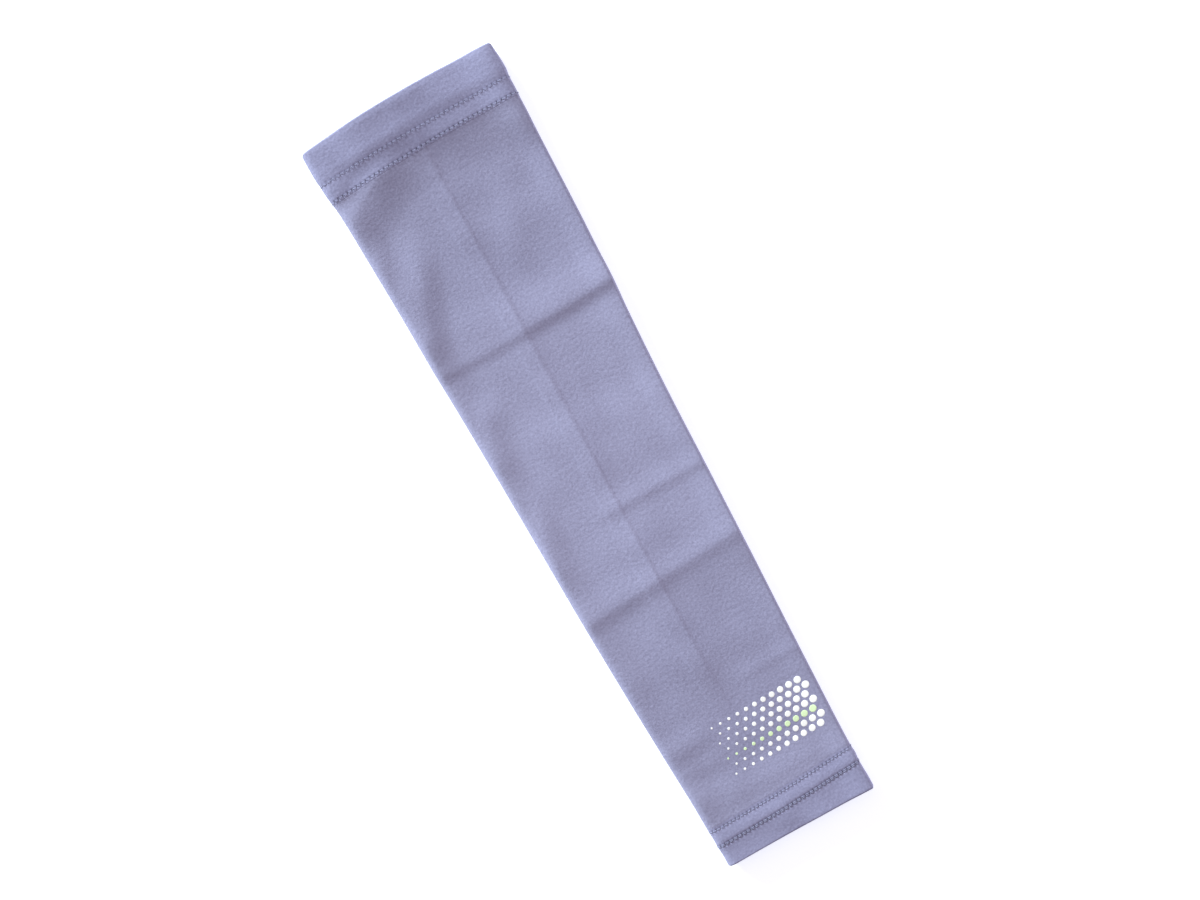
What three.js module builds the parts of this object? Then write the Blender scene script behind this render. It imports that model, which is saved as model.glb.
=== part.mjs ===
// Arm sleeve of stretch knit, lying flat and slightly puffed, open at both ends.
// Millimetres, +Z up. The sleeve runs along Y, upper arm at +Y and wrist at -Y, and rests on z = 0.

import * as THREE from 'three';

// Cloth
const PLY = 1.0; // one ply of the knit
const HEM_WALL = 1.4; // a hem is turned in, so it has two plies, pressed together by their stitches
const ROW_GAP = 0.3; // clear gap between body and hem along the inner stitch row
const CLOTH_COLOUR = 0x9799bb;
const CLOTH_ROUGHNESS = 0.9;

// Places along the middle of the sleeve
const WRIST_RIM = -200.2;
const WRIST_ROW = -180.6; // inner stitch row, where the wrist hem meets the body
const UPPER_ROW = 172.4; // inner stitch row, where the upper hem meets the body
const UPPER_RIM = 200.1;

// Mesh steps
const BOTTOM_STEPS = 8;
const SIDE_STEPS = 6;
const TOP_STEPS = 10; // on each side of the seam crease
const BODY_STEP = 9.2;
const HEM_STEP = 6.6;
const RIM_STEPS = 4;

// Sections, wrist first. along: place on the middle line. left, right: side edges.
// height: of the side folds. dip: how far the top sinks between the side folds.
const SECTIONS = [
  { along: -200.2, left: -36.5, right: 42.9, height: 8.10, dip: 0.36 },
  { along: -196.0, left: -36.5, right: 42.9, height: 8.04, dip: 0.38 },
  { along: -192.0, left: -36.6, right: 42.7, height: 8.06, dip: 0.40 },
  { along: -189.2, left: -36.9, right: 42.6, height: 8.14, dip: 0.40 },
  { along: -187.0, left: -36.9, right: 42.7, height: 8.28, dip: 0.36 },
  { along: -184.4, left: -36.9, right: 42.9, height: 8.27, dip: 0.36 },
  { along: -180.6, left: -37.2, right: 42.6, height: 8.10, dip: 0.40 },
  { along: -166.0, left: -37.7, right: 42.7, height: 7.90, dip: 0.90 },
  { along: -148.0, left: -38.7, right: 43.1, height: 7.80, dip: 0.70 },
  { along: -111.7, left: -40.6, right: 44.0, height: 7.80, dip: 0.60 },
  { along: -75.0, left: -42.2, right: 45.1, height: 7.80, dip: 0.65 },
  { along: -50.0, left: -43.1, right: 45.7, height: 7.80, dip: 0.55 },
  { along: -26.0, left: -43.7, right: 46.3, height: 7.80, dip: 0.95 },
  { along: 8.0, left: -44.8, right: 47.0, height: 7.80, dip: 0.75 },
  { along: 32.0, left: -45.6, right: 47.8, height: 7.80, dip: 1.00 },
  { along: 58.0, left: -46.6, right: 49.0, height: 7.80, dip: 0.80 },
  { along: 74.0, left: -47.4, right: 50.1, height: 7.80, dip: 0.75 },
  { along: 90.0, left: -47.8, right: 50.4, height: 7.80, dip: 0.80 },
  { along: 108.2, left: -48.3, right: 51.0, height: 7.80, dip: 0.90 },
  { along: 148.0, left: -49.9, right: 51.9, height: 7.80, dip: 0.90 },
  { along: 164.0, left: -50.7, right: 52.5, height: 7.90, dip: 0.65 },
  { along: 172.4, left: -51.5, right: 52.6, height: 8.15, dip: 0.40 },
  { along: 176.6, left: -52.2, right: 52.7, height: 8.20, dip: 0.38 },
  { along: 180.8, left: -52.5, right: 52.7, height: 8.15, dip: 0.40 },
  { along: 186.5, left: -53.0, right: 53.2, height: 8.28, dip: 0.35 },
  { along: 200.1, left: -53.2, right: 52.4, height: 8.20, dip: 0.35 },
];
const DIP_RUN = 12; // the top sinks over this distance from the side folds
const LEFT_REACH = 1.0; // reach of the left side fold across the sleeve, as a share of its half height
const RIGHT_REACH = 0.38; // the same of the right side fold, which is creased sharper

// Slant of the lines across the cloth. left, right: how far a line runs ahead at each edge.
// corner: how far the rim is drawn in at the side folds.
const SLANTS = [
  { along: -200.2, left: -0.5, right: -0.1, corner: 0.5 },
  { along: -188.1, left: -1.6, right: 2.9, corner: 0 },
  { along: -180.6, left: -1.3, right: 3.2, corner: 0 },
  { along: -111.7, left: 0, right: 0, corner: 0 },
  { along: 108.2, left: 0, right: 0, corner: 0 },
  { along: 172.4, left: -3.7, right: 0.9, corner: 0 },
  { along: 180.8, left: -2.6, right: 1.1, corner: 0 },
  { along: 200.1, left: -3.9, right: 0.3, corner: 0.4 },
];
const CORNER_RUN = 0.03; // share of the half width over which a corner is rounded

// Folds in the top cloth. from, to: ends of the crest. bow: how far the crest bends to the left of the
// way from the first end to the second. rise: height. lit, shade: widths of the flanks, lit on the left.
const CREASES = [
  { name: 'packing crease', from: [-68, 72.0], to: [70, 75.5], bow: -2.5, rise: 0.52, lit: 26, shade: 6.5 },
  { name: 'middle crease', from: [-18, -24.5], to: [72, -23.0], bow: 0, rise: 0.32, lit: 11, shade: 6 },
  { name: 'lower crease', from: [-64, -69.5], to: [66, -59.5], bow: 1, rise: 0.56, lit: 16, shade: 9 },
];
const SEAM_CREASE = {
  name: 'seam crease', from: [-1.6, -130], to: [-0.2, 194], bow: 0, rise: 0.60, lit: 26, shade: 11,
};
const DRAGS = [
  { name: 'packing fold', from: [-10, 72.6], to: [70, 76.0], bow: -0.6, rise: 0.34, lit: 18, shade: 9.5 },
  { name: 'hem drag', from: [-56, 147], to: [-6, 173.5], bow: 4, rise: 1.50, lit: 12, shade: 21 },
  { name: 'side drag', from: [-54, 56], to: [-20, 152], bow: 0.5, rise: 0.80, lit: 24, shade: 14 },
  { name: 'side drag foot', from: [-47, 72], to: [-28, 130], bow: 0, rise: 0.90, lit: 18, shade: 13 },
  { name: 'edge drag', from: [-54, 98], to: [-40, 148], bow: 0, rise: 0.35, lit: 8, shade: 7 },
  { name: 'edge dent', from: [-44, 6], to: [-31, 58], bow: 0, rise: 0.62, lit: 9, shade: 13 },
  { name: 'side dent', from: [-48, -54], to: [-29, 8], bow: 0, rise: 0.55, lit: 9, shade: 12 },
  { name: 'seam fall', from: [1, -132], to: [1, -4], bow: 0, rise: 0.55, lit: 30, shade: 24 },
  { name: 'seam shoulder', from: [2, -40], to: [2, 70], bow: 0, rise: 0.55, lit: 20, shade: 18 },
  { name: 'wrist wrinkle', from: [-54, -142], to: [-6, -138], bow: 0, rise: 0.42, lit: 12, shade: 10 },
  { name: 'wrist dent', from: [-48, -166], to: [-4, -168], bow: 0, rise: 0.32, lit: 12, shade: 16 },
  { name: 'wrist hem fold', from: [-8, -186], to: [22, -208.5], bow: 0, rise: 0.45, lit: 12, shade: 10 },
  { name: 'row fall', from: [-4, 184], to: [40, 185.5], bow: 0, rise: 0.32, lit: 16, shade: 38 },
  { name: 'row hollow', from: [2, 171.5], to: [32, 172.5], bow: 0, rise: 0.45, lit: 12, shade: 22 },
  { name: 'row patch', from: [-42, 181], to: [2, 184], bow: 0, rise: 0.88, lit: 20, shade: 12 },
  { name: 'row lift', from: [18, 172], to: [54, 173], bow: 0, rise: 0.30, lit: 12, shade: 40 },
  { name: 'row slope', from: [-50, 181.4], to: [30, 186], bow: 0, rise: 1.05, lit: 24, shade: 24 },
  { name: 'rim dent', from: [-48, 202.3], to: [36, 206], bow: 0, rise: 2.00, lit: 8, shade: 34 },
  { name: 'rim swell', from: [10, 186], to: [62, 187], bow: 0, rise: 0.34, lit: 14, shade: 12 },
  { name: 'rim patch', from: [-42, 199.2], to: [3, 203.5], bow: 0, rise: 1.20, lit: 8, shade: 16 },
  { name: 'corner fall', from: [-68, 168], to: [-37, 170.5], bow: 0, rise: 0.50, lit: 20, shade: 75 },
  { name: 'left hem edge', from: [-41, 160], to: [-43, 216], bow: 0, rise: 0.70, lit: 13, shade: 16 },
  { name: 'right hem edge', from: [47, 140], to: [47.5, 218], bow: 0, rise: 1.35, lit: 16, shade: 9 },
  { name: 'right wrist edge', from: [39.3, -216], to: [39.5, -164], bow: 0, rise: 0.50, lit: 14, shade: 5 },
  { name: 'right swell', from: [43.5, -90], to: [50.5, 150], bow: 0, rise: 0.80, lit: 28, shade: 4 },
];
const CREASE_ROUND = 0.18; // how round a crest is, as a share of its flank
const DRAG_ROUND = 0.5;
const CREASE_TAPER = 20; // a fold rises to its full height over this length from each end, or a third of it
const DRAG_TAPER = 34;

function smooth(value) {
  const t = THREE.MathUtils.clamp(value, 0, 1);
  return t * t * (3 - 2 * t);
}

function evenPlaces(start, end, count) {
  return Array.from({ length: count + 1 }, (_, i) => THREE.MathUtils.lerp(start, end, i / count));
}

// One column of a table at a place along the sleeve, on a smooth curve through its rows.
function column(table, name, along) {
  const last = table.length - 1;
  const next = table.findIndex((row) => row.along > along);
  const upper = next < 0 ? last : Math.max(next, 1);
  const lower = upper - 1;
  const slope = (i) => {
    const before = table[Math.max(i - 1, 0)];
    const after = table[Math.min(i + 1, last)];
    return (after[name] - before[name]) / (after.along - before.along);
  };
  const span = table[upper].along - table[lower].along;
  const t = THREE.MathUtils.clamp((along - table[lower].along) / span, 0, 1);
  const eased = THREE.MathUtils.lerp(table[lower][name], table[upper][name], smooth(t));
  const start = t * (1 - t) ** 2 * span * slope(lower);
  const end = t * t * (t - 1) * span * slope(upper);
  return eased + start + end;
}

function foldRise(fold, rounding, longestTaper, x, y) {
  const dx = fold.to[0] - fold.from[0];
  const dy = fold.to[1] - fold.from[1];
  const length = Math.hypot(dx, dy);
  const taper = Math.min(longestTaper, length / 3);
  const run = ((x - fold.from[0]) * dx + (y - fold.from[1]) * dy) / length;
  const share = THREE.MathUtils.clamp(run / length, 0, 1);
  const bend = 4 * fold.bow * share * (1 - share);
  const off = ((y - fold.from[1]) * dx - (x - fold.from[0]) * dy) / length - bend;
  const away = Math.min(Math.abs(off) / (off > 0 ? fold.lit : fold.shade), 1);
  const down = (Math.hypot(away, rounding) - rounding) / (Math.hypot(1, rounding) - rounding);
  const ends = smooth(run / taper) * smooth((length - run) / taper);
  return fold.rise * ends * (1 - down) ** 2;
}

function topRelief(x, y) {
  const creases = [...CREASES, SEAM_CREASE].map((fold) => foldRise(fold, CREASE_ROUND, CREASE_TAPER, x, y));
  const drags = DRAGS.map((fold) => foldRise(fold, DRAG_ROUND, DRAG_TAPER, x, y));
  return [...creases, ...drags].reduce((sum, rise) => sum + rise, 0);
}

// Places across the top cloth from right to left, close together on the steep flank of the seam crease.
function topColumns(right, left) {
  const crest = (SEAM_CREASE.from[0] + SEAM_CREASE.to[0]) / 2;
  const foot = crest + SEAM_CREASE.shade;
  return [
    ...evenPlaces(right, foot, TOP_STEPS),
    (foot + crest) / 2,
    ...evenPlaces(crest, left, TOP_STEPS).slice(0, -1),
  ];
}

// One closed loop round the sleeve, set in from its outer face by inset.
function ring(along, inset) {
  const radius = column(SECTIONS, 'height', along) / 2;
  const leftEdge = column(SECTIONS, 'left', along);
  const rightEdge = column(SECTIONS, 'right', along);
  const left = leftEdge + LEFT_REACH * radius;
  const right = rightEdge - RIGHT_REACH * radius;
  const loop = evenPlaces(left, right, BOTTOM_STEPS).slice(0, -1).map((x) => ({ x, z: inset }));
  const sideFold = (centre, share, start) => {
    evenPlaces(start, start + Math.PI, SIDE_STEPS).slice(0, -1).forEach((angle) => {
      const x = centre + (share * radius - inset) * Math.cos(angle);
      loop.push({ x, z: radius + (radius - inset) * Math.sin(angle) });
    });
  };
  sideFold(right, RIGHT_REACH, -Math.PI / 2);
  topColumns(right, left).forEach((x) => loop.push({ x, z: 2 * radius - inset }));
  sideFold(left, LEFT_REACH, Math.PI / 2);

  const middle = (leftEdge + rightEdge) / 2;
  const half = (rightEdge - leftEdge) / 2;
  const leftLead = column(SLANTS, 'left', along);
  const rightLead = column(SLANTS, 'right', along);
  const corner = column(SLANTS, 'corner', along) * Math.sign(along);
  const dip = column(SECTIONS, 'dip', along);
  return loop.map(({ x, z }) => {
    const s = (x - middle) / half;
    const lead = ((leftLead + rightLead) / 2) * s * s + ((rightLead - leftLead) / 2) * s;
    const drawn = corner * Math.max(0, (Math.abs(s) - 1 + CORNER_RUN) / CORNER_RUN) ** 2;
    const y = along + lead - drawn;
    const share = THREE.MathUtils.clamp((z - radius) / (radius - inset), 0, 1);
    const sunk = dip * smooth(Math.min(x - left, right - x) / DIP_RUN);
    return new THREE.Vector3(x, y, z + share * (topRelief(x, y) - sunk));
  });
}

// A closed wall: the loops of its profile, joined in turn and back to the first.
function wall(profile) {
  const rings = profile.map(({ along, inset }) => ring(along, inset));
  const count = rings[0].length;
  const positions = rings.flat().flatMap((point) => point.toArray());
  const index = [];
  rings.forEach((_, i) => {
    const next = (i + 1) % rings.length;
    for (let j = 0; j < count; j += 1) {
      const k = (j + 1) % count;
      const [a, b, c, d] = [i * count + j, i * count + k, next * count + k, next * count + j];
      index.push(a, c, b, a, d, c);
    }
  });
  const geometry = new THREE.BufferGeometry();
  geometry.setAttribute('position', new THREE.Float32BufferAttribute(positions, 3));
  geometry.setIndex(index);
  geometry.computeVertexNormals();
  return geometry;
}

// Places from the first mark to the last, with each gap between marks cut into steps.
function placesBetween(marks, step) {
  const places = [marks[0]];
  marks.slice(1).forEach((mark, i) => {
    const count = Math.ceil(Math.abs(mark - marks[i]) / step);
    places.push(...evenPlaces(marks[i], mark, count).slice(1));
  });
  return places;
}

// The outer face from start to end, then the inner face back.
function bodyProfile() {
  const marks = [WRIST_ROW + ROW_GAP / 2, UPPER_ROW - ROW_GAP / 2];
  CREASES.forEach((fold) => {
    const crest = (fold.from[1] + fold.to[1]) / 2;
    marks.push(crest - fold.shade, crest, crest + fold.lit / 2);
  });
  marks.sort((a, b) => a - b);
  const places = placesBetween(marks, BODY_STEP);
  const outer = places.map((along) => ({ along, inset: 0 }));
  const inner = places.map((along) => ({ along, inset: PLY })).reverse();
  return [...outer, ...inner];
}

// A hem from its stitch row to its rounded rim and back along its inner face.
function hemProfile(row, rim) {
  const outward = Math.sign(rim - row);
  const radius = HEM_WALL / 2;
  const start = row + (outward * ROW_GAP) / 2;
  const shoulder = rim - outward * radius;
  const within = SECTIONS.map(({ along }) => along * outward)
    .filter((along) => along > start * outward && along < shoulder * outward)
    .sort((a, b) => a - b)
    .map((along) => along * outward);
  const places = placesBetween([start, ...within, shoulder], HEM_STEP).slice(0, -1);
  const outer = places.map((along) => ({ along, inset: 0 }));
  const inner = places.map((along) => ({ along, inset: HEM_WALL })).reverse();
  const round = evenPlaces(0, Math.PI, RIM_STEPS).map((angle) => ({
    along: shoulder + outward * radius * Math.sin(angle),
    inset: radius * (1 - Math.cos(angle)),
  }));
  const profile = [...outer, ...round, ...inner];
  return outward > 0 ? profile : profile.reverse();
}

function clothPiece(name, profile) {
  const material = new THREE.MeshStandardMaterial({
    color: CLOTH_COLOUR,
    roughness: CLOTH_ROUGHNESS,
    metalness: 0,
  });
  const piece = new THREE.Mesh(wall(profile), material);
  piece.name = name;
  return piece;
}

const sleeve = new THREE.Group();
sleeve.add(clothPiece('sleeve_body', bodyProfile()));
sleeve.add(clothPiece('upper_hem', hemProfile(UPPER_ROW, UPPER_RIM)));
sleeve.add(clothPiece('wrist_hem', hemProfile(WRIST_ROW, WRIST_RIM)));

export default sleeve;
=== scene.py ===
"""An arm sleeve of fine stretch knit, lying flat on a pale floor and seen from straight above.

Shapes are worked out in millimetres and made into metres by UNIT. A place on the cloth has two numbers.
along runs up the middle of the sleeve, from the wrist to the upper arm. girth runs once round it: 0 at
the seam in the under cloth, then by the right side fold, the top and the left side fold back to 1.
"""
import math
from collections import namedtuple

import bpy
import numpy as np
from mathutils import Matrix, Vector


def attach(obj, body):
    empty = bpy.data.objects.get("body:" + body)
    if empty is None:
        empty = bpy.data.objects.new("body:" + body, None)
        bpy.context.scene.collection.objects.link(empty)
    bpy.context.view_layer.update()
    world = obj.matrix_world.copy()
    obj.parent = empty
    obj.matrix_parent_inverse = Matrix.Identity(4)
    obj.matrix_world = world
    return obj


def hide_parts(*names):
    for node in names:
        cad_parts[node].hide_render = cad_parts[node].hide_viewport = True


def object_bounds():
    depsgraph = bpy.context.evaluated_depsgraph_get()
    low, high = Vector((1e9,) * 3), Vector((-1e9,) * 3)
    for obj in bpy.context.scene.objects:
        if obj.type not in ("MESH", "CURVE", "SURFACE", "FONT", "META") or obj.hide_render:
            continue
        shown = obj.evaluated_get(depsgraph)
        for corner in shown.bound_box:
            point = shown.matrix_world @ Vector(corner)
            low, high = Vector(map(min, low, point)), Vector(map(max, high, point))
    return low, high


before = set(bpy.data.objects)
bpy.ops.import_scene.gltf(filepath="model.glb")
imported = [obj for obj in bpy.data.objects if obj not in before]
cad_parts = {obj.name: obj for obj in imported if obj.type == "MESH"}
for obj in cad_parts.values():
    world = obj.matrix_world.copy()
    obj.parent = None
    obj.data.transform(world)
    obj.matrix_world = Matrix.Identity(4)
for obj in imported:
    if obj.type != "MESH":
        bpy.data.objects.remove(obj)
CAD_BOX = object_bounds()

SLEEVE_LENGTH = 401.39  # from rim to rim, over their slanted ends
UNIT = (CAD_BOX[1][1] - CAD_BOX[0][1]) / SLEEVE_LENGTH  # metres to the millimetre
TURN = 2 * math.pi

# Cloth: thickness of the body and of a hem, and the places of the rims and stitch rows
PLY = 1.0
HEM_WALL = 1.4
WRIST_RIM = -200.2
WRIST_OUTER_ROW = -188.3
WRIST_ROW = -180.6
UPPER_ROW = 172.4
UPPER_OUTER_ROW = 180.8
UPPER_RIM = 200.1


def table(columns, rows):
    """The columns of a table, by name."""
    return dict(zip(columns.split(), np.array(rows, float).T))


# Sections, wrist first: place along the middle, side edges, height of the side folds and how far the
# top sinks between them
SECTIONS = table("along left right height dip", [
    (-200.2, -36.5, 42.9, 8.10, 0.36),
    (-196.0, -36.5, 42.9, 8.04, 0.38),
    (-192.0, -36.6, 42.7, 8.06, 0.40),
    (-189.2, -36.9, 42.6, 8.14, 0.40),
    (-187.0, -36.9, 42.7, 8.28, 0.36),
    (-184.4, -36.9, 42.9, 8.27, 0.36),
    (-180.6, -37.2, 42.6, 8.10, 0.40),
    (-166.0, -37.7, 42.7, 7.90, 0.90),
    (-148.0, -38.7, 43.1, 7.80, 0.70),
    (-111.7, -40.6, 44.0, 7.80, 0.60),
    (-75.0, -42.2, 45.1, 7.80, 0.65),
    (-50.0, -43.1, 45.7, 7.80, 0.55),
    (-26.0, -43.7, 46.3, 7.80, 0.95),
    (8.0, -44.8, 47.0, 7.80, 0.75),
    (32.0, -45.6, 47.8, 7.80, 1.00),
    (58.0, -46.6, 49.0, 7.80, 0.80),
    (74.0, -47.4, 50.1, 7.80, 0.75),
    (90.0, -47.8, 50.4, 7.80, 0.80),
    (108.2, -48.3, 51.0, 7.80, 0.90),
    (148.0, -49.9, 51.9, 7.80, 0.90),
    (164.0, -50.7, 52.5, 7.90, 0.65),
    (172.4, -51.5, 52.6, 8.15, 0.40),
    (176.6, -52.2, 52.7, 8.20, 0.38),
    (180.8, -52.5, 52.7, 8.15, 0.40),
    (186.5, -53.0, 53.2, 8.28, 0.35),
    (200.1, -53.2, 52.4, 8.20, 0.35),
])
DIP_RUN = 12.0  # how far in from the side folds the top is fully sunk
# How far the side folds reach across the sleeve, as shares of their half height
LEFT_REACH = 1.0
RIGHT_REACH = 0.38

# Slant of the lines across the cloth: how far a line runs ahead at each edge, and how far the rim is
# drawn in at the side folds
SLANTS = table("along left right corner", [
    (-200.2, -0.5, -0.1, 0.5),
    (-188.1, -1.6, 2.9, 0.0),
    (-180.6, -1.3, 3.2, 0.0),
    (-111.7, 0.0, 0.0, 0.0),
    (108.2, 0.0, 0.0, 0.0),
    (172.4, -3.7, 0.9, 0.0),
    (180.8, -2.6, 1.1, 0.0),
    (200.1, -3.9, 0.3, 0.4),
])
CORNER_RUN = 0.03  # share of the half width

# Folds in the top cloth: both ends of the crest, how far it bows to the left of the way between them, its
# rise, and the widths of its flanks on the left and on the right
Fold = namedtuple("Fold", "name start end bow rise left_width right_width")
CREASES = [
    Fold("packing crease", (-68, 72.0), (70, 75.5), -2.5, 0.52, 26.0, 6.5),
    Fold("packing fold", (-10, 72.6), (70, 76.0), -0.6, 0.34, 18.0, 9.5),
    Fold("middle crease", (-18, -24.5), (72, -23.0), 0.0, 0.32, 11.0, 6.0),
    Fold("lower crease", (-64, -69.5), (66, -59.5), 1.0, 0.56, 16.0, 9.0),
    Fold("print crease", (2, -123.0), (62, -123.0), 0.0, 0.20, 9.0, 6.0),
    Fold("seam crease", (-1.6, -130.0), (-0.2, 194.0), 0.0, 0.60, 26.0, 11.0),
    Fold("seam line", (-0.6, -112.0), (0.8, 190.0), 0.0, 0.13, 3.5, 2.2),
    Fold("seam wrinkle", (13, -26.0), (13, 50.0), 1.5, 0.09, 5.0, 3.0),
    Fold("rim fold", (-60, 192.6), (60, 197.2), 1.8, 0.28, 6.0, 30.0),
]
DRAGS = [
    Fold("hem drag", (-56, 147.0), (-6, 173.5), 4.0, 1.50, 12.0, 21.0),
    Fold("side drag", (-54, 56.0), (-20, 152.0), 0.5, 0.80, 24.0, 14.0),
    Fold("side drag foot", (-47, 72.0), (-28, 130.0), 0.0, 0.90, 18.0, 13.0),
    Fold("edge drag", (-54, 98.0), (-40, 148.0), 0.0, 0.35, 8.0, 7.0),
    Fold("upper swirl", (16, 96.0), (40, 160.0), 3.0, 0.25, 12.0, 14.0),
    Fold("gather", (-1, 152.0), (3, 173.0), 0.0, 0.20, 8.0, 6.0),
    Fold("edge dent", (-44, 6.0), (-31, 58.0), 0.0, 0.62, 9.0, 13.0),
    Fold("side dent", (-48, -54.0), (-29, 8.0), 0.0, 0.55, 9.0, 12.0),
    Fold("seam fall", (1, -132.0), (1, -4.0), 0.0, 0.55, 30.0, 24.0),
    Fold("seam shoulder", (2, -40.0), (2, 70.0), 0.0, 0.55, 20.0, 18.0),
    Fold("wrist wrinkle", (-54, -142.0), (-6, -138.0), 0.0, 0.42, 12.0, 10.0),
    Fold("wrist line", (-48, -151.0), (-10, -154.0), 0.0, 0.16, 8.0, 8.0),
    Fold("wrist dent", (-48, -166.0), (-4, -168.0), 0.0, 0.32, 12.0, 16.0),
    Fold("wrist shade", (-34, -172.0), (36, -170.0), 0.0, 0.30, 12.0, 9.0),
    Fold("wrist hem fold", (-8, -186.0), (22, -208.5), 0.0, 0.45, 12.0, 10.0),
    Fold("row fall", (-4, 184.0), (40, 185.5), 0.0, 0.32, 16.0, 38.0),
    Fold("row hollow", (2, 171.5), (32, 172.5), 0.0, 0.45, 12.0, 22.0),
    Fold("row patch", (-42, 181.0), (2, 184.0), 0.0, 0.88, 20.0, 12.0),
    Fold("row lift", (18, 172.0), (54, 173.0), 0.0, 0.30, 12.0, 40.0),
    Fold("row slope", (-50, 181.4), (30, 186.0), 0.0, 1.05, 24.0, 24.0),
    Fold("row ease", (-62, 177.5), (64, 181.5), 0.0, 0.28, 10.0, 45.0),
    Fold("rim dent", (-48, 202.3), (36, 206.0), 0.0, 2.00, 8.0, 34.0),
    Fold("rim swell", (10, 186.0), (62, 187.0), 0.0, 0.34, 14.0, 12.0),
    Fold("rim patch", (-42, 199.2), (3, 203.5), 0.0, 1.20, 8.0, 16.0),
    Fold("hem seam", (-3, 176.0), (1, 212.0), 0.0, 0.18, 14.0, 12.0),
    Fold("rim spot", (-8, 197.5), (15, 199.0), 0.0, 0.30, 8.0, 10.0),
    Fold("corner fall", (-68, 168.0), (-37, 170.5), 0.0, 0.50, 20.0, 75.0),
    Fold("left hem edge", (-41, 160.0), (-43, 216.0), 0.0, 0.70, 13.0, 16.0),
    Fold("right hem edge", (47.0, 140.0), (47.5, 218.0), 0.0, 1.35, 16.0, 9.0),
    Fold("right wrist edge", (39.3, -216.0), (39.5, -164.0), 0.0, 0.50, 14.0, 5.0),
    Fold("right swell", (43.5, -90.0), (50.5, 150.0), 0.0, 0.80, 28.0, 4.0),
]
# How round a crest is, as a share of its flank, and the longest run over which a fold begins or ends. A
# short fold takes a third of its length for each
CREASE_ROUND = 0.18
DRAG_ROUND = 0.5
CREASE_TAPER = 20.0
DRAG_TAPER = 34.0
TAPERS_TO_A_FOLD = 3

# The seam of the under cloth: a channel underneath, and a low band that shows through the top
SEAM_LEFT = -8.4
SEAM_RIGHT = 2.2
SEAM_SIDE = 2.2
SEAM_STEP = 0.14
SEAM_END = -190.0
SEAM_FADE = 60.0
SEAM_SWAY = 0.7
SEAM_SWAY_LENGTH = 260.0
SEAM_WAVES = ((47.0, 0.25), (21.0, 0.18))  # lengths and shares of its unevenness
SEAM_MIDDLE = -3.2
SEAM_CHANNEL = 0.5
SEAM_CHANNEL_HALF = 5.0
SEAM_CHANNEL_SIDE = 1.7

# Soft unevenness of the lying cloth
LUMP_COUNT = 26
LUMP_HEIGHT = 0.03
LUMP_LENGTHS = (14.0, 60.0)
SEED = 11

# Stitch rows: place along, stitches round the sleeve, depth and spread of the groove, depth of a needle
# hole, and half the width of a row that is sewn with two needles
UPPER_STITCHES = 84
WRIST_STITCHES = 80
WRIST_OUTER_STITCHES = 72
StitchRow = namedtuple("StitchRow", "along count groove spread pit half")
UPPER_ROWS = (
    StitchRow(UPPER_ROW, UPPER_STITCHES, 0.06, 0.8, 0.24, 0.0),
    StitchRow(UPPER_OUTER_ROW, UPPER_STITCHES, 0.05, 0.8, 0.15, 0.0),
)
WRIST_ROWS = (
    StitchRow(WRIST_ROW, WRIST_STITCHES, 0.06, 0.8, 0.21, 0.0),
    StitchRow(WRIST_OUTER_ROW, WRIST_OUTER_STITCHES, 0.12, 1.1, 0.19, 0.65),
)
DEEP_HOLE = 0.24  # as deep as this, a needle hole gets its full painted shade
HOLE_RADIUS = 0.44
HOLE_LENGTH = 0.56
SLIT_RADIUS = 0.36  # between the stitches of a row of two needles
SLIT_END = 0.4
SLIT_SLANT = 0.5
SLIT_EDGE_SHADE = 0.3  # how much painted shade darkens the sides of such a row
THREAD_RADIUS = 0.12

# Low steps in the upper hem, where the cloth gets thinner towards the wrist: the edge of the turned-in
# cloth, and the inner stitch row
HemStep = namedtuple("HemStep", "along depth run")
HEM_STEPS = (HemStep(185.2, 0.07, 4.2), HemStep(172.2, 0.14, 3.2))
STEP_FADE = 50.0  # how far below it a step has eased out

LIP = 1.4  # a hem's edge reaches this far past its inner stitch row

# Shape of the cloth

UP = math.pi / 2
DOWN = -math.pi / 2


def smooth(value):
    """A ramp from 0 to 1 that starts and ends gently."""
    t = np.clip(value, 0, 1)
    return t * t * (3 - 2 * t)


def curve(rows, name, along):
    """One column of a table at places along the sleeve, on a smooth curve through its rows."""
    at = rows["along"]
    value = rows[name]
    last = len(at) - 1
    before = np.maximum(np.arange(last + 1) - 1, 0)
    after = np.minimum(np.arange(last + 1) + 1, last)
    slope = (value[after] - value[before]) / (at[after] - at[before])
    upper = np.clip(np.searchsorted(at, along, side="right"), 1, last)
    lower = upper - 1
    span = at[upper] - at[lower]
    t = np.clip((along - at[lower]) / span, 0, 1)
    eased = value[lower] + (value[upper] - value[lower]) * smooth(t)
    return eased + span * (t * (1 - t) ** 2 * slope[lower] + t * t * (t - 1) * slope[upper])


def fold_rise(fold, rounding, longest_taper, x, y):
    """How far a fold lifts the cloth at a place: most at its crest, easing out down its flanks and ends."""
    dx = fold.end[0] - fold.start[0]
    dy = fold.end[1] - fold.start[1]
    length = math.hypot(dx, dy)
    taper = min(longest_taper, length / TAPERS_TO_A_FOLD)
    from_x = x - fold.start[0]
    from_y = y - fold.start[1]
    run = (from_x * dx + from_y * dy) / length
    share = np.clip(run / length, 0, 1)
    off = (from_y * dx - from_x * dy) / length - 4 * fold.bow * share * (1 - share)
    away = np.clip(np.abs(off) / np.where(off > 0, fold.left_width, fold.right_width), 0, 1)
    down = (np.sqrt(away ** 2 + rounding ** 2) - rounding) / (math.sqrt(1 + rounding ** 2) - rounding)
    ends = smooth(run / taper) * smooth((length - run) / taper)
    return fold.rise * ends * (1 - down) ** 2


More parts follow.
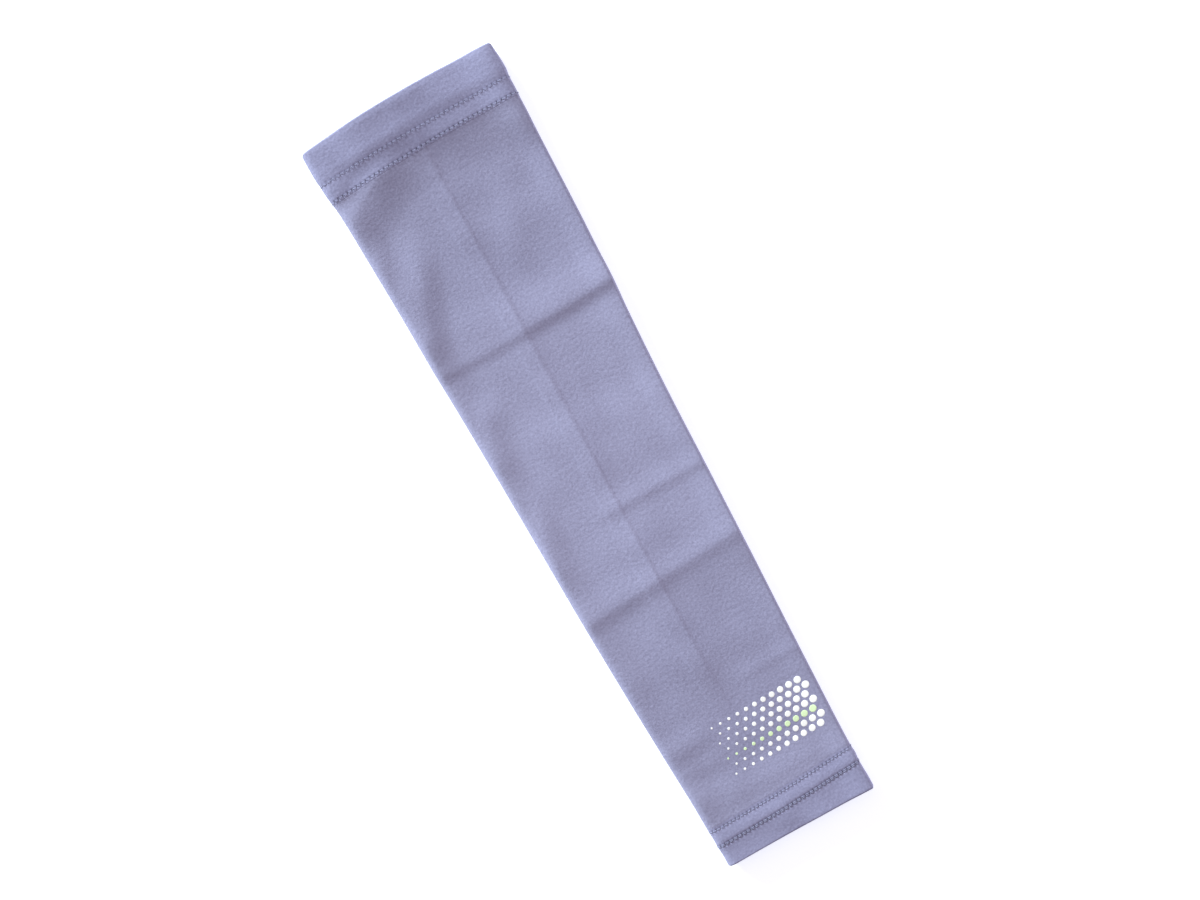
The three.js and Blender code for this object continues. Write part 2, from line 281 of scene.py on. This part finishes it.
def seam_rise(x, y):
    """The low, uneven band over the seam of the under cloth."""
    x = x - SEAM_SWAY * np.sin(TURN * y / SEAM_SWAY_LENGTH)
    uneven = 1 + sum(share * np.sin(TURN * y / length + length) for length, share in SEAM_WAVES)
    across = smooth((x - SEAM_LEFT) / SEAM_SIDE) * smooth((SEAM_RIGHT - x) / SEAM_SIDE)
    return SEAM_STEP * uneven * across * smooth((y - SEAM_END) / SEAM_FADE)


def make_lumps():
    """Waves of random length, direction and phase: rows of (kx, ky, phase)."""
    random = np.random.default_rng(SEED)
    length = random.uniform(*LUMP_LENGTHS, LUMP_COUNT)
    heading = random.uniform(0, math.pi, LUMP_COUNT)
    phase = random.uniform(0, TURN, LUMP_COUNT)
    return list(zip(TURN / length * np.cos(heading), TURN / length * np.sin(heading), phase))


LUMPS = make_lumps()


def top_relief(x, y):
    """How far the seam, the folds and the lumps lift the top cloth."""
    relief = seam_rise(x, y)
    for fold in CREASES:
        relief = relief + fold_rise(fold, CREASE_ROUND, CREASE_TAPER, x, y)
    for fold in DRAGS:
        relief = relief + fold_rise(fold, DRAG_ROUND, DRAG_TAPER, x, y)
    for kx, ky, phase in LUMPS:
        relief = relief + LUMP_HEIGHT * np.sin(kx * x + ky * y + phase)
    return relief


def section(along):
    """Half height, side edges and the reaches of the side folds, at places along the sleeve."""
    radius = curve(SECTIONS, "height", along) / 2
    left_edge = curve(SECTIONS, "left", along)
    right_edge = curve(SECTIONS, "right", along)
    return radius, left_edge, right_edge, LEFT_REACH * radius, RIGHT_REACH * radius


def perimeter(along):
    """The way once round the sleeve."""
    radius, left_edge, right_edge, left_reach, right_reach = section(along)
    flat = right_edge - right_reach - left_edge - left_reach
    return 2 * flat + math.pi * (2 * radius + left_reach + right_reach) / 2


def cloth(along, girth, inset=0.0):
    """Points of the cloth, set in from its outer face by inset, and the outward normals of its sections."""
    along, girth, inset = np.broadcast_arrays(along, girth, inset)
    radius, left_edge, right_edge, left_reach, right_reach = section(along)
    left = left_edge + left_reach
    right = right_edge - right_reach
    left_arc = math.pi * (radius + left_reach) / 2
    right_arc = math.pi * (radius + right_reach) / 2
    way = girth * perimeter(along)
    under_end = right - SEAM_MIDDLE
    right_end = under_end + right_arc
    top_end = right_end + right - left
    left_end = top_end + left_arc
    stretches = [way < under_end, way < right_end, way < top_end, way < left_end]
    right_angle = DOWN + math.pi * (way - under_end) / right_arc
    left_angle = UP + math.pi * (way - top_end) / left_arc
    angle = np.select(stretches, [DOWN, right_angle, UP, left_angle], DOWN)
    centres = [SEAM_MIDDLE + way, right, right - (way - right_end), left]
    centre = np.select(stretches, centres, left + way - left_end)
    reach = np.where(way < top_end, right_reach, left_reach)
    x = centre + (reach - inset) * np.cos(angle)
    z = radius + (radius - inset) * np.sin(angle)

    s = (x - (left_edge + right_edge) / 2) / ((right_edge - left_edge) / 2)
    lead_left = curve(SLANTS, "left", along)
    lead_right = curve(SLANTS, "right", along)
    lead = (lead_left + lead_right) / 2 * s * s + (lead_right - lead_left) / 2 * s
    corner = curve(SLANTS, "corner", along) * np.sign(along)
    drawn = corner * np.maximum(0, (np.abs(s) - 1 + CORNER_RUN) / CORNER_RUN) ** 2
    y = along + lead - drawn

    top = np.clip(np.sin(angle), 0, 1)
    under = np.clip(-np.sin(angle), 0, 1)
    sunk = curve(SECTIONS, "dip", along) * smooth(np.minimum(x - left, right - x) / DIP_RUN)
    channel = SEAM_CHANNEL * smooth((SEAM_CHANNEL_HALF - np.abs(x - SEAM_MIDDLE)) / SEAM_CHANNEL_SIDE)
    z = z + top * (top_relief(x, y) - sunk) + under * channel
    normal = np.stack([np.cos(angle) * radius, np.zeros_like(x), np.sin(angle) * reach], -1)
    normal /= np.linalg.norm(normal, axis=-1, keepdims=True)
    return np.stack([x, y, z], -1), normal


def top_girth(along, x):
    """The girth of a place on the top cloth."""
    radius, _, right_edge, _, right_reach = section(along)
    right = right_edge - right_reach
    return (right - SEAM_MIDDLE + math.pi * (radius + right_reach) / 2 + right - x) / perimeter(along)


def under_girth(along, x):
    """The girth of a place on the under cloth."""
    return ((x - SEAM_MIDDLE) / perimeter(along)) % 1.0


def stitch_press(along, girth):
    """How far the stitches press the cloth in, and the painted shade of their needle holes, from 0 to 1."""
    press = np.zeros(np.broadcast(along, girth).shape)
    hole_shade = np.zeros_like(press)
    for row in UPPER_ROWS + WRIST_ROWS:
        off = along - row.along
        phase = girth * row.count
        beside = (phase - np.round(phase)) * perimeter(np.array(row.along)) / row.count
        if row.half:
            slit = np.exp(-(((beside - SLIT_SLANT * off) / SLIT_RADIUS) ** 2))
            slit = slit * smooth((row.half + SLIT_END - np.abs(off)) / SLIT_END)
            edge = np.exp(-(((np.abs(off) - row.half) / SLIT_RADIUS) ** 2))
            near = np.maximum(slit, SLIT_EDGE_SHADE * edge)
        else:
            near = np.exp(-((beside / HOLE_RADIUS) ** 2) - (off / HOLE_LENGTH) ** 2)
        press += row.groove * np.exp(-((off / row.spread) ** 2)) + row.pit * near
        hole_shade = np.maximum(hole_shade, near * row.pit / DEEP_HOLE)
    for step in HEM_STEPS:
        eased = smooth((along - step.along + STEP_FADE) / STEP_FADE)
        press += step.depth * smooth((step.along - along) / step.run) * eased
    return press, hole_shade


# Meshes

SHARP_ANGLE = math.radians(65)
# The corners of a face of a wall, counted from its ring and its column
CORNER_RINGS = np.array([1, 1, 0, 0])
CORNER_COLUMNS = np.array([0, 1, 1, 0])
TOP_MIDDLE = 0.5  # the girth that the knit's ribs are counted from

# A ring of a wall: its place, how far it is set in, whether stitches press on it, and how much painted
# shade darkens it
Ring = namedtuple("Ring", "along inset pressed shade", defaults=(0.0,))
PRESSED = 1.0
UNPRESSED = 0.0


def new_object(name, vertices, faces, material):
    mesh = bpy.data.meshes.new(name)
    mesh.from_pydata((np.asarray(vertices) * UNIT).tolist(), [], faces)
    mesh.polygons.foreach_set("use_smooth", np.ones(len(mesh.polygons), bool))
    mesh.materials.append(material)
    piece = bpy.data.objects.new(name, mesh)
    bpy.context.scene.collection.objects.link(piece)
    return piece


def add_uv_map(mesh, name, u, v):
    layer = mesh.uv_layers.new(name=name)
    places = np.stack(np.broadcast_arrays(u, v), -1)
    layer.data.foreach_set("uv", places.astype(np.float32).ravel())


def wall(name, girth, rings, material):
    """A closed cloth wall through rings in turn, and from the last one back to the first."""
    along, inset, pressed, shade = np.array(rings).T[:, :, None]
    press, hole_shade = stitch_press(along, girth)
    points, _ = cloth(along, girth, inset + press * pressed)
    rows, count = points.shape[:2]
    row = np.arange(rows)[:, None, None] + CORNER_RINGS
    column = np.arange(count)[:, None] + CORNER_COLUMNS
    faces = row % rows * count + column % count
    piece = new_object(name, points.reshape(-1, 3), faces.reshape(-1, 4).tolist(), material)
    mesh = piece.data
    mesh.set_sharp_from_angle(angle=SHARP_ANGLE)
    # The painted shade of the needle holes and of the folded rims
    painted_shade = mesh.attributes.new("painted_shade", "FLOAT", "POINT")
    painted_shade.data.foreach_set("value", np.maximum(hole_shade * pressed, shade).astype(np.float32).ravel())

    around = np.append(girth, 1.0)[column]
    lengthwise = np.append(along, along[0])[row]
    through = np.linspace(0, 1, rows + 1)[row]
    add_uv_map(mesh, "OFBake", around, through)
    add_uv_map(mesh, "knit", (around - TOP_MIDDLE) * perimeter(lengthwise), lengthwise)
    return piece


def closed_skin(number):
    """Faces of closed tubes, from arrays of vertex numbers of (tube, ring, vertex)."""
    following = np.roll(number, -1, axis=2)
    corners = [number[:, :-1], following[:, :-1], following[:, 1:], number[:, 1:]]
    quads = np.stack(corners, -1).reshape(-1, 4)
    return quads.tolist() + number[:, 0, ::-1].tolist() + number[:, -1].tolist()


def tubes(paths, normals, radius, sides):
    """Vertices and faces of closed tubes along paths of points, in arrays of (tube, point, xyz)."""
    tangent = np.gradient(paths, axis=1)
    tangent /= np.linalg.norm(tangent, axis=-1, keepdims=True)
    across = np.cross(tangent, normals)
    across /= np.linalg.norm(across, axis=-1, keepdims=True)
    upright = np.cross(across, tangent)
    angle = np.arange(sides) * TURN / sides
    circle = np.cos(angle)[:, None] * upright[:, :, None] + np.sin(angle)[:, None] * across[:, :, None]
    vertices = paths[:, :, None] + radius * circle
    number = np.arange(vertices.size // 3).reshape(vertices.shape[:3])
    return vertices.reshape(-1, 3), closed_skin(number)


def joined(parts):
    """Vertices and faces of several sets in one."""
    vertices = []
    faces = []
    start = 0
    for some, more in parts:
        vertices.append(some)
        faces += [[start + v for v in face] for face in more]
        start += len(some)
    return np.concatenate(vertices), faces


# Materials: colours first

CLOTH_LIGHT = (0.336, 0.327, 0.483)
CLOTH_DARK = (0.199, 0.193, 0.299)
BODY_TINT = (1.0, 1.0, 1.0)
HEM_TINT = (0.997, 1.008, 1.035)  # the hems are a little bluer than the body
# Painted shade, mixed into the cloth in the needle holes and at the folded rims
PAINTED_SHADE_COLOUR = (0.100, 0.097, 0.150)
SHEEN_COLOUR = (0.80, 0.82, 1.0)
THREAD_COLOUR = (0.290, 0.292, 0.430)
PRINT_WHITE = (0.95, 0.94, 0.93)
PRINT_LIME = (0.74, 0.91, 0.56)
FLOOR_COLOUR = (0.90, 0.90, 0.92)
FLOOR_GLOW_COLOUR = (0.79, 0.84, 0.98)
FLOOR_GLOW = 0.6

# The knit's loops: widths of a rib and of a course, and how far Vs swing a rib's height up and down
WALE = 0.62
COURSE = 0.46
LOOP_DEPTH = 0.25

# The knit's tone, from its dark colour at 0 to its light one at 1. Spots have a number to the millimetre, a
# gain in contrast and a weight
Spots = namedtuple("Spots", "scale gain weight")
HEATHER = Spots(0.9, 2.0, 0.6)
BROAD = Spots(0.03, 1.5, 0.15)
SPOT_DETAIL = 2.0
# Painted shade: the knit is darker in the hollows between its loops
LOOP_HOLLOW_SHADE = 0.2
PALER = 0.14  # how much paler the cloth is in the middle of the sleeve
PALER_REACH = 95.0
DEEPER = 0.09  # how much deeper it is at the upper arm, where this begins and where it is full
DEEPER_SPAN = (75.0, 112.0)

# The knit's surface: pebbles to the millimetre, and the shares of pebbles and loops in its bump
PEBBLES = 0.5
PEBBLE_SHARE = 2.5
LOOP_SHARE = 0.6
KNIT_BUMP = 0.06
KNIT_BUMP_STRENGTH = 1.0
KNIT_FINISH = {
    "Roughness": 0.9,
    "Specular IOR Level": 0.15,
    "Sheen Weight": 0.09,
    "Sheen Roughness": 0.5,
    "Sheen Tint": (*SHEEN_COLOUR, 1.0),
}

# Plain finishes: colour, roughness, grains to the millimetre, their depth, and how much darker they get
Finish = namedtuple("Finish", "colour roughness grains depth contrast")
THREAD_FINISH = Finish(THREAD_COLOUR, 0.6, 2.5, 0.05, 0.18)
WHITE_FINISH = Finish(PRINT_WHITE, 0.45, 1.5, 0.02, 0.18)
LIME_FINISH = Finish(PRINT_LIME, 0.45, 1.5, 0.02, 0.18)
FLOOR_FINISH = Finish(FLOOR_COLOUR, 0.9, 0.8, 0.01, 0.02)
GRAIN_DETAIL = 3.0
GRAIN_STRENGTH = 0.6
GRAIN_SPECULAR = 0.3

# Colour sockets of a Mix node, by number, because others there have the same names
MIX_FIRST = 6
MIX_SECOND = 7
MIX_RESULT = 2


def opaque(colour):
    return (*colour, 1.0)


def times(colour, factors):
    return tuple(c * factor for c, factor in zip(colour, factors))


def new_material(name):
    material = bpy.data.materials.new(name)
    material.use_nodes = True
    tree = material.node_tree
    return material, tree, tree.nodes["Principled BSDF"]


def set_inputs(node, values):
    for name, value in values.items():
        node.inputs[name].default_value = value


def calc(tree, operation, *values):
    """A Math node: values are numbers or sockets."""
    node = tree.nodes.new("ShaderNodeMath")
    node.operation = operation
    for socket, value in zip(node.inputs, values):
        if isinstance(value, (int, float)):
            socket.default_value = value
        else:
            tree.links.new(value, socket)
    return node.outputs[0]


def mix_colour(tree, factor, first, second):
    """A Mix node between two colours, which are tuples or sockets."""
    node = tree.nodes.new("ShaderNodeMix")
    node.data_type = "RGBA"
    tree.links.new(factor, node.inputs["Factor"])
    for number, value in ((MIX_FIRST, first), (MIX_SECOND, second)):
        if isinstance(value, tuple):
            node.inputs[number].default_value = value
        else:
            tree.links.new(value, node.inputs[number])
    return node.outputs[MIX_RESULT]


def noise(tree, vector, scale, detail):
    node = tree.nodes.new("ShaderNodeTexNoise")
    set_inputs(node, {"Scale": scale, "Detail": detail})
    tree.links.new(vector, node.inputs["Vector"])
    return node.outputs[0]


def bump(tree, height, distance, strength):
    node = tree.nodes.new("ShaderNodeBump")
    set_inputs(node, {"Distance": distance * UNIT, "Strength": strength})
    tree.links.new(height, node.inputs["Height"])
    return node.outputs[0]


def place_on_knit(tree):
    """The place on the knit in millimetres: as a vector, and its parts round and along the sleeve."""
    place = tree.nodes.new("ShaderNodeUVMap")
    place.uv_map = "knit"
    parts = tree.nodes.new("ShaderNodeSeparateXYZ")
    tree.links.new(place.outputs[0], parts.inputs[0])
    return place.outputs[0], parts.outputs[0], parts.outputs[1]


def knit_height(tree, around, along):
    """Height of the knit's loops, from 0 to 1: ribs along the sleeve, each a column of small Vs."""
    wale = calc(tree, "FRACT", calc(tree, "DIVIDE", around, WALE))
    rib = calc(tree, "ABSOLUTE", calc(tree, "SUBTRACT", wale, 0.5))
    phase = calc(tree, "ADD", calc(tree, "DIVIDE", along, COURSE), rib)
    loops = calc(tree, "SINE", calc(tree, "MULTIPLY", phase, TURN))
    hollow = calc(tree, "MULTIPLY", calc(tree, "MULTIPLY", rib, rib), 4.0)
    crown = calc(tree, "SUBTRACT", 1.0, hollow)
    return calc(tree, "MULTIPLY", crown, calc(tree, "MULTIPLY_ADD", loops, LOOP_DEPTH, 1 - LOOP_DEPTH))


def spotted(tree, place, spots):
    """Noise from 0 to 1, with more contrast about its middle."""
    value = noise(tree, place, spots.scale, SPOT_DETAIL)
    return calc(tree, "MULTIPLY_ADD", calc(tree, "SUBTRACT", value, 0.5), spots.gain, 0.5)


def paler_middle(tree, along):
    """1 in the middle of the sleeve, easing to 0 towards the hems."""
    away = calc(tree, "DIVIDE", along, PALER_REACH)
    return calc(tree, "MAXIMUM", 0.0, calc(tree, "SUBTRACT", 1.0, calc(tree, "MULTIPLY", away, away)))


def deeper_end(tree, along):
    """0 up to the elbow, easing to 1 towards the upper arm."""
    node = tree.nodes.new("ShaderNodeMapRange")
    node.interpolation_type = "SMOOTHSTEP"
    set_inputs(node, dict(zip(("From Min", "From Max"), DEEPER_SPAN)))
    tree.links.new(along, node.inputs["Value"])
    return node.outputs[0]


def knit_material(name, tint):
    material, tree, shader = new_material(name)
    place, around, along = place_on_knit(tree)
    loops = knit_height(tree, around, along)
    # Painted shade in the hollows between the loops
    tone = calc(tree, "MULTIPLY", loops, LOOP_HOLLOW_SHADE)
    for value, weight in (
        (spotted(tree, place, HEATHER), HEATHER.weight),
        (spotted(tree, place, BROAD), BROAD.weight),
        (paler_middle(tree, along), PALER),
        (deeper_end(tree, along), -DEEPER),
    ):
        tone = calc(tree, "MULTIPLY_ADD", value, weight, tone)
    colour = mix_colour(tree, tone, opaque(times(CLOTH_DARK, tint)), opaque(times(CLOTH_LIGHT, tint)))
    # Painted shade: the needle holes and the folded rims are mixed towards a dark colour
    painted_shade = tree.nodes.new("ShaderNodeAttribute")
    painted_shade.attribute_name = "painted_shade"
    colour = mix_colour(tree, painted_shade.outputs["Fac"], colour, opaque(PAINTED_SHADE_COLOUR))
    tree.links.new(colour, shader.inputs["Base Color"])
    pebbles = noise(tree, place, PEBBLES, SPOT_DETAIL)
    height = calc(tree, "MULTIPLY_ADD", pebbles, PEBBLE_SHARE, calc(tree, "MULTIPLY", loops, LOOP_SHARE))
    tree.links.new(bump(tree, height, KNIT_BUMP, KNIT_BUMP_STRENGTH), shader.inputs["Normal"])
    set_inputs(shader, KNIT_FINISH)
    return material


def plain_material(name, finish):
    """A material with a fine grain in its colour and surface."""
    material, tree, shader = new_material(name)
    place = tree.nodes.new("ShaderNodeTexCoord").outputs["Object"]
    speckle = noise(tree, place, finish.grains / UNIT, GRAIN_DETAIL)
    darker = tuple((1 - finish.contrast) * c for c in finish.colour)
    colour = mix_colour(tree, speckle, opaque(darker), opaque(finish.colour))
    tree.links.new(colour, shader.inputs["Base Color"])
    tree.links.new(bump(tree, speckle, finish.depth, GRAIN_STRENGTH), shader.inputs["Normal"])
    set_inputs(shader, {"Roughness": finish.roughness, "Specular IOR Level": GRAIN_SPECULAR})
    return material


KNIT = knit_material("knit", BODY_TINT)
HEM_KNIT = knit_material("hem_knit", HEM_TINT)
THREAD = plain_material("thread", THREAD_FINISH)
WHITE = plain_material("print_white", WHITE_FINISH)
LIME = plain_material("print_lime", LIME_FINISH)

# Cloth pieces

TUCK = 0.5  # the body's cloth runs on this far under a hem's edge
TUCK_INSET = 0.08
RIM_STEPS = 8
RIM_PAINTED_SHADE = 0.6  # painted shade on the cloth where it is folded round a rim
# Columns of faces round the body: from and to which girth, and how many
BODY_SPANS = ((0.0, 0.21, 26), (0.21, 0.29, 26), (0.29, 0.71, 156), (0.71, 0.79, 26), (0.79, 1.0, 26))
# Lengths of faces along the body, finer over a run at each end and coarser on the lining, then along a hem
BODY_STEP = 1.3
BODY_END_STEP = 0.5
BODY_END_RUN = 6.0
BODY_LINING_STEP = 6.0
HEM_STEP = 0.42
HEM_LINING_STEP = 1.2
# Columns of faces round the hems, to each stitch of the inner row
UPPER_STITCH_COLUMNS = 5
WRIST_STITCH_COLUMNS = 6


def even(start, end, step):
    """Places from start to end, evenly about a step apart."""
    return np.linspace(start, end, max(2, round(abs(end - start) / step) + 1))


def make_body():
    girth = np.concatenate([np.linspace(a, b, n, endpoint=False) for a, b, n in BODY_SPANS])
    start = WRIST_ROW + LIP
    end = UPPER_ROW - LIP
    outer = np.concatenate([
        even(start, start + BODY_END_RUN, BODY_END_STEP),
        even(start + BODY_END_RUN, end - BODY_END_RUN, BODY_STEP)[1:-1],
        even(end - BODY_END_RUN, end, BODY_END_STEP),
    ])
    lining = even(end + TUCK, start - TUCK, BODY_LINING_STEP)
    rings = [Ring(along, TUCK_INSET, PRESSED) for along in (start - TUCK, start)]
    rings += [Ring(along, 0.0, PRESSED) for along in outer[1:-1]]
    rings += [Ring(along, TUCK_INSET, PRESSED) for along in (end, end + TUCK)]
    rings += [Ring(along, PLY, UNPRESSED) for along in lining]
    return wall("sleeve_cloth", girth, rings, KNIT)


def make_hem(name, row, rim, columns):
    girth = np.arange(columns) / columns
    outward = math.copysign(1, rim - row)
    radius = HEM_WALL / 2
    start = row - outward * LIP
    shoulder = rim - outward * radius
    rings = [Ring(along, 0.0, PRESSED) for along in even(start, shoulder, HEM_STEP)]
    for angle in np.linspace(0, math.pi, RIM_STEPS + 1)[1:-1]:
        along = shoulder + outward * radius * math.sin(angle)
        # Painted shade, most where the rim faces straight out
        shade = RIM_PAINTED_SHADE * math.sin(angle) ** 2
        rings.append(Ring(along, radius * (1 - math.cos(angle)), UNPRESSED, shade))
    rings += [Ring(along, HEM_WALL, UNPRESSED) for along in even(shoulder, start, HEM_LINING_STEP)]
    return wall(name, girth, rings if outward > 0 else rings[::-1], HEM_KNIT)


# Stitches of the hems

# Shares of the way from hole to hole, and heights of the thread's middle over the groove there
STITCH_POINTS = np.array([0.10, 0.16, 0.28, 0.5, 0.72, 0.84, 0.90])
STITCH_HEIGHTS = np.array([-0.35, 0.0, 0.16, 0.22, 0.16, 0.0, -0.35])
THREAD_SIDES = 8


def stitch_line(along, count, groove):
    """The threads of one line of stitches, from hole to hole."""
    girth = ((np.arange(count)[:, None] + STITCH_POINTS) / count) % 1.0
    points, normals = cloth(along, girth, groove - STITCH_HEIGHTS - THREAD_RADIUS / 2)
    points[..., 2] = np.maximum(points[..., 2], THREAD_RADIUS)
    return tubes(points, normals, THREAD_RADIUS, THREAD_SIDES)


def make_stitches(name, rows):
    lines = []
    for row in rows:
        shifts = (-row.half / 2, row.half / 2) if row.half else (0.0,)
        lines += [stitch_line(row.along + shift, row.count, row.groove) for shift in shifts]
    return new_object(name, *joined(lines), THREAD)


# The threads of the seam in the under cloth: cross threads from side to side and one along each side

SEAM_STITCH_PITCH = 1.7
SEAM_STITCH_HALF = 2.1
SEAM_STITCH_INSET = 3.0
SEAM_THREAD_RADIUS = 0.15
SEAM_CROSS_POINTS = 6
SEAM_CROSS_SHARES = np.linspace(0, 1, SEAM_CROSS_POINTS)
SEAM_SIDE_STEP = 0.57
SEAM_SIDE_WAVE = 0.12


def under_threads(along, x):
    points, normals = cloth(along, under_girth(along, x), -SEAM_THREAD_RADIUS / 2)
    return tubes(points, normals, SEAM_THREAD_RADIUS, THREAD_SIDES)


def make_seam_threads():
    low = WRIST_ROW + SEAM_STITCH_INSET
    high = UPPER_ROW - SEAM_STITCH_INSET
    count = round((high - low) / SEAM_STITCH_PITCH)
    start = low + np.arange(count)[:, None] * SEAM_STITCH_PITCH
    side = np.where(np.arange(count) % 2 == 0, 1, -1)[:, None]
    across = SEAM_MIDDLE + side * SEAM_STITCH_HALF * (2 * SEAM_CROSS_SHARES - 1)
    parts = [under_threads(start + SEAM_STITCH_PITCH * SEAM_CROSS_SHARES, across)]
    along = even(low, high, SEAM_SIDE_STEP)[None, :]
    wave = SEAM_SIDE_WAVE * np.sin(TURN * along / SEAM_STITCH_PITCH)
    for sign in (-1, 1):
        parts.append(under_threads(along, SEAM_MIDDLE + sign * SEAM_STITCH_HALF + wave))
    return new_object("seam_stitches", *joined(parts), THREAD)


# The print near the wrist: low round dots in staggered rows, smaller towards the left, one row in lime

PRINT_LEFT = -12.0
PRINT_LOW = -162.5
DOT_PITCH = 4.7
DOT_ROW_PITCH = DOT_PITCH * math.sqrt(3) / 2
DOT_COLUMNS = 11
DOT_ROWS = 7
LIME_ROWS = (2,)
SMALLEST_DOT = 0.5
LARGEST_DOT = 1.95
DOT_SIDES = 28
DOT_RINGS = ((1.0, -0.08), (1.0, 0.02), (0.97, 0.035), (0.6, 0.035))  # shares of the radius, and heights


def make_dot(along, x, radius):
    angle = np.arange(DOT_SIDES) * TURN / DOT_SIDES
    share, height = np.array(DOT_RINGS).T[:, :, None]
    ring_along = along + radius * share * np.sin(angle)
    ring_x = x + radius * share * np.cos(angle)
    points, _ = cloth(ring_along, top_girth(ring_along, ring_x), -height)
    number = np.arange(len(DOT_RINGS) * DOT_SIDES).reshape(1, -1, DOT_SIDES)
    return points.reshape(-1, 3), closed_skin(number)


def make_print(name, rows, material):
    dots = []
    for row in rows:
        along = PRINT_LOW + row * DOT_ROW_PITCH
        for column in range(DOT_COLUMNS):
            place = column + row % 2 / 2
            radius = SMALLEST_DOT + (LARGEST_DOT - SMALLEST_DOT) * place / DOT_COLUMNS
            dots.append(make_dot(along, PRINT_LEFT + place * DOT_PITCH, radius))
    return new_object(name, *joined(dots), material)


# The object

body = make_body()
upper_hem = make_hem("upper_hem_cloth", UPPER_ROW, UPPER_RIM, UPPER_STITCH_COLUMNS * UPPER_STITCHES)
wrist_hem = make_hem("wrist_hem_cloth", WRIST_ROW, WRIST_RIM, WRIST_STITCH_COLUMNS * WRIST_STITCHES)
upper_stitches = make_stitches("upper_stitches", UPPER_ROWS)
wrist_stitches = make_stitches("wrist_stitches", WRIST_ROWS)
seam_stitches = make_seam_threads()
white_rows = [row for row in range(DOT_ROWS) if row not in LIME_ROWS]
white_dots = make_print("print_dots_white", white_rows, WHITE)
lime_dots = make_print("print_dots_lime", LIME_ROWS, LIME)
trim = [upper_hem, wrist_hem, upper_stitches, wrist_stitches, seam_stitches, white_dots, lime_dots]

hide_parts("sleeve_body")
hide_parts("upper_hem")
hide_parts("wrist_hem")
for piece in [body, *trim]:
    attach(piece, "root")

# Floor, light and camera

FLOOR_SIZE = 16.0  # metres, as are the next two
FLOOR_DROP = 0.0002
CAMERA_HEIGHT = 1.0
CLOTH_TOP = 7.0
PICTURE_WIDTH = 573.6  # across the frame, on the cloth
PICTURE_CENTRE = (4.9, 4.1)
PICTURE_TURN = math.radians(-28.65)
SENSOR = 36.0
SKY_COLOUR = (1.04, 0.93, 0.99)
SKY_STRENGTH = 0.42

# Lamps: distance and size in metres, angle above the floor, turn from straight up the sleeve to its left,
# power in watts and colour
Lamp = namedtuple("Lamp", "name distance size elevation turn power colour")
KEY = Lamp("key", 4.5, 1.6, math.radians(13), math.radians(21), 600.0, (0.90, 1.035, 1.03))
FILL = Lamp("fill", 3.0, 2.0, math.radians(26), math.radians(-100), 38.0, (1.0, 1.0, 1.0))


def make_floor():
    half = FLOOR_SIZE / 2
    corners = [(-half, -half, 0), (half, -half, 0), (half, half, 0), (-half, half, 0)]
    mesh = bpy.data.meshes.new("floor")
    mesh.from_pydata(corners, [], [(0, 1, 2, 3)])
    material = plain_material("floor", FLOOR_FINISH)
    shader = material.node_tree.nodes["Principled BSDF"]
    set_inputs(shader, {"Emission Color": opaque(FLOOR_GLOW_COLOUR), "Emission Strength": FLOOR_GLOW})
    mesh.materials.append(material)
    floor = bpy.data.objects.new("floor", mesh)
    floor.location.z = -FLOOR_DROP
    bpy.context.scene.collection.objects.link(floor)


def make_light(lamp):
    data = bpy.data.lights.new(lamp.name, "AREA")
    data.size = lamp.size
    data.energy = lamp.power
    data.color = lamp.colour
    light = bpy.data.objects.new(lamp.name, data)
    flat = lamp.distance * math.cos(lamp.elevation)
    rise = lamp.distance * math.sin(lamp.elevation)
    light.location = (-flat * math.sin(lamp.turn), flat * math.cos(lamp.turn), rise)
    light.rotation_euler = light.location.to_track_quat("Z", "Y").to_euler()
    bpy.context.scene.collection.objects.link(light)


def make_world():
    world = bpy.data.worlds.new("studio")
    world.use_nodes = True
    sky = world.node_tree.nodes["Background"]
    set_inputs(sky, {"Color": opaque(SKY_COLOUR), "Strength": SKY_STRENGTH})
    bpy.context.scene.world = world


def make_camera():
    data = bpy.data.cameras.new("camera")
    data.sensor_width = SENSOR
    data.lens = SENSOR * CAMERA_HEIGHT / (PICTURE_WIDTH * UNIT)
    camera = bpy.data.objects.new("camera", data)
    x, y = PICTURE_CENTRE
    camera.location = (x * UNIT, y * UNIT, CAMERA_HEIGHT + CLOTH_TOP * UNIT)
    camera.rotation_euler = (0, 0, PICTURE_TURN)
    bpy.context.scene.collection.objects.link(camera)
    bpy.context.scene.camera = camera


make_floor()
make_world()
make_light(KEY)
make_light(FILL)
make_camera()
bpy.context.scene.view_settings.view_transform = "Standard"
